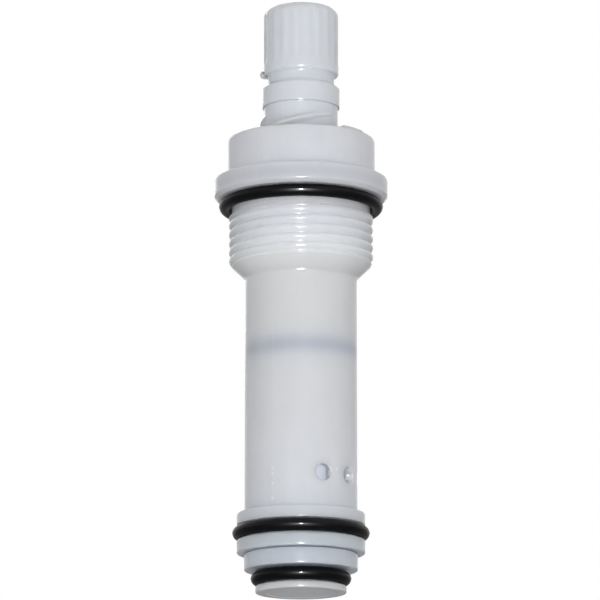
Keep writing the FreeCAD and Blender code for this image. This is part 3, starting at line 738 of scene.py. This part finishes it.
camera = bpy.data.objects.new("camera", bpy.data.cameras.new("camera"))
camera.data.sensor_width = SENSOR_WIDTH
camera.data.lens = SENSOR_WIDTH * FOCAL_PIXELS / PICTURE_WIDTH
towards = Vector((0, math.cos(CAMERA_LOOKS_UP), math.sin(CAMERA_LOOKS_UP)))
camera.location = Vector((AIM_ASIDE, 0, AIM_HEIGHT)) - towards * CAMERA_DISTANCE
camera.rotation_mode = "QUATERNION"
camera.rotation_quaternion = towards.to_track_quat("-Z", "Y")
bpy.context.scene.collection.objects.link(camera)
bpy.context.scene.camera = camera


def soft_box(name, place, aim, size, watts):
    """Round area lamp at a place, turned to face its aim."""
    lamp = bpy.data.lights.new(name, "AREA")
    lamp.shape = "DISK"
    lamp.size = size
    lamp.energy = watts
    made = bpy.data.objects.new(name, lamp)
    made.location = place
    made.rotation_mode = "QUATERNION"
    made.rotation_quaternion = (Vector(aim) - Vector(place)).to_track_quat("-Z", "Y")
    bpy.context.scene.collection.objects.link(made)
    return made


middle = (0, 0, AIM_HEIGHT)
soft_box("lens_light", camera.location + Vector((0, 0.02, 0.004)), middle, 0.018, 2.05)
flash = soft_box("flash", camera.location + Vector((-0.004, 0.02, 0)), middle, 0.014, 8.5)
flash.visible_diffuse = False
grease_flash = soft_box(
    "grease_flash", camera.location + Vector((0.004, 0.02, 0)), middle, 0.03, 24.0)
grease_flash.visible_diffuse = False
seals = bpy.data.collections.new("seals")
for node in ("flange_o_ring", "sleeve_o_ring", "plunger_o_ring"):
    seals.objects.link(bpy.data.objects[node + "_skin"])
grease_flash.light_linking.receiver_collection = seals
soft_box("overhead", (0.30, -0.20, 0.50), middle, 0.5, 0.30)
soft_box("behind", (-0.15, 0.6, 0.35), middle, 0.4, 0.35)

FLOOR_REACH = 1.5
corners = np.array([[-1, -1, 0], [1, -1, 0], [1, 1, 0], [-1, 1, 0]], float)
floor_points = corners * FLOOR_REACH / MM - [0, 0, 0.02]
floor = shell_object("floor", floor_points, [np.array([[0, 1, 2, 3]])])
floor_paint, start, shader = new_material("floor paint")
set_constants(shader, {"Base Color": (0.86, 0.86, 0.87, 1), "Roughness": 0.8,
                       "Specular IOR Level": 0.1, "Emission Strength": 1.0})
from_below = start.node("ShaderNodeNewGeometry", output="Backfacing")
seen_floor = start.node("ShaderNodeLightPath", output="Is Camera Ray")
lift = seen_floor.tinted((0, 0, 0, 1), (0.42, 0.42, 0.43, 1))
start.tree.links.new(lift.socket, shader.inputs["Emission Color"])
clear = start.node("ShaderNodeBsdfTransparent")
paint = Wire(start.tree, shader.outputs["BSDF"])
one_sided = start.node("ShaderNodeMixShader", inputs={0: from_below, 1: paint, 2: clear})
out = [node for node in start.tree.nodes if node.type == "OUTPUT_MATERIAL"][0]
start.tree.links.new(one_sided.socket, out.inputs["Surface"])
floor.data.materials.append(floor_paint)
floor.visible_shadow = False
floor.visible_diffuse = False

SURROUND = 0.28
world = bpy.data.worlds.new("surround")
world.use_nodes = True
world.node_tree.nodes.clear()
start = Wire(world.node_tree)
path = start.node("ShaderNodeLightPath").socket.node.outputs
seen = Wire(start.tree, path["Is Camera Ray"])
for ray in ("Is Glossy Ray", "Is Transmission Ray"):
    seen = seen.math("MAXIMUM", Wire(start.tree, path[ray]))
strength = SURROUND + seen * (1 - SURROUND)
glow = start.node("ShaderNodeBackground", inputs={"Color": (1, 1, 1, 1), "Strength": strength})
world_out = start.tree.nodes.new("ShaderNodeOutputWorld")
start.tree.links.new(glow.socket, world_out.inputs["Surface"])
bpy.context.scene.world = world
bpy.context.scene.view_settings.view_transform = "Standard"
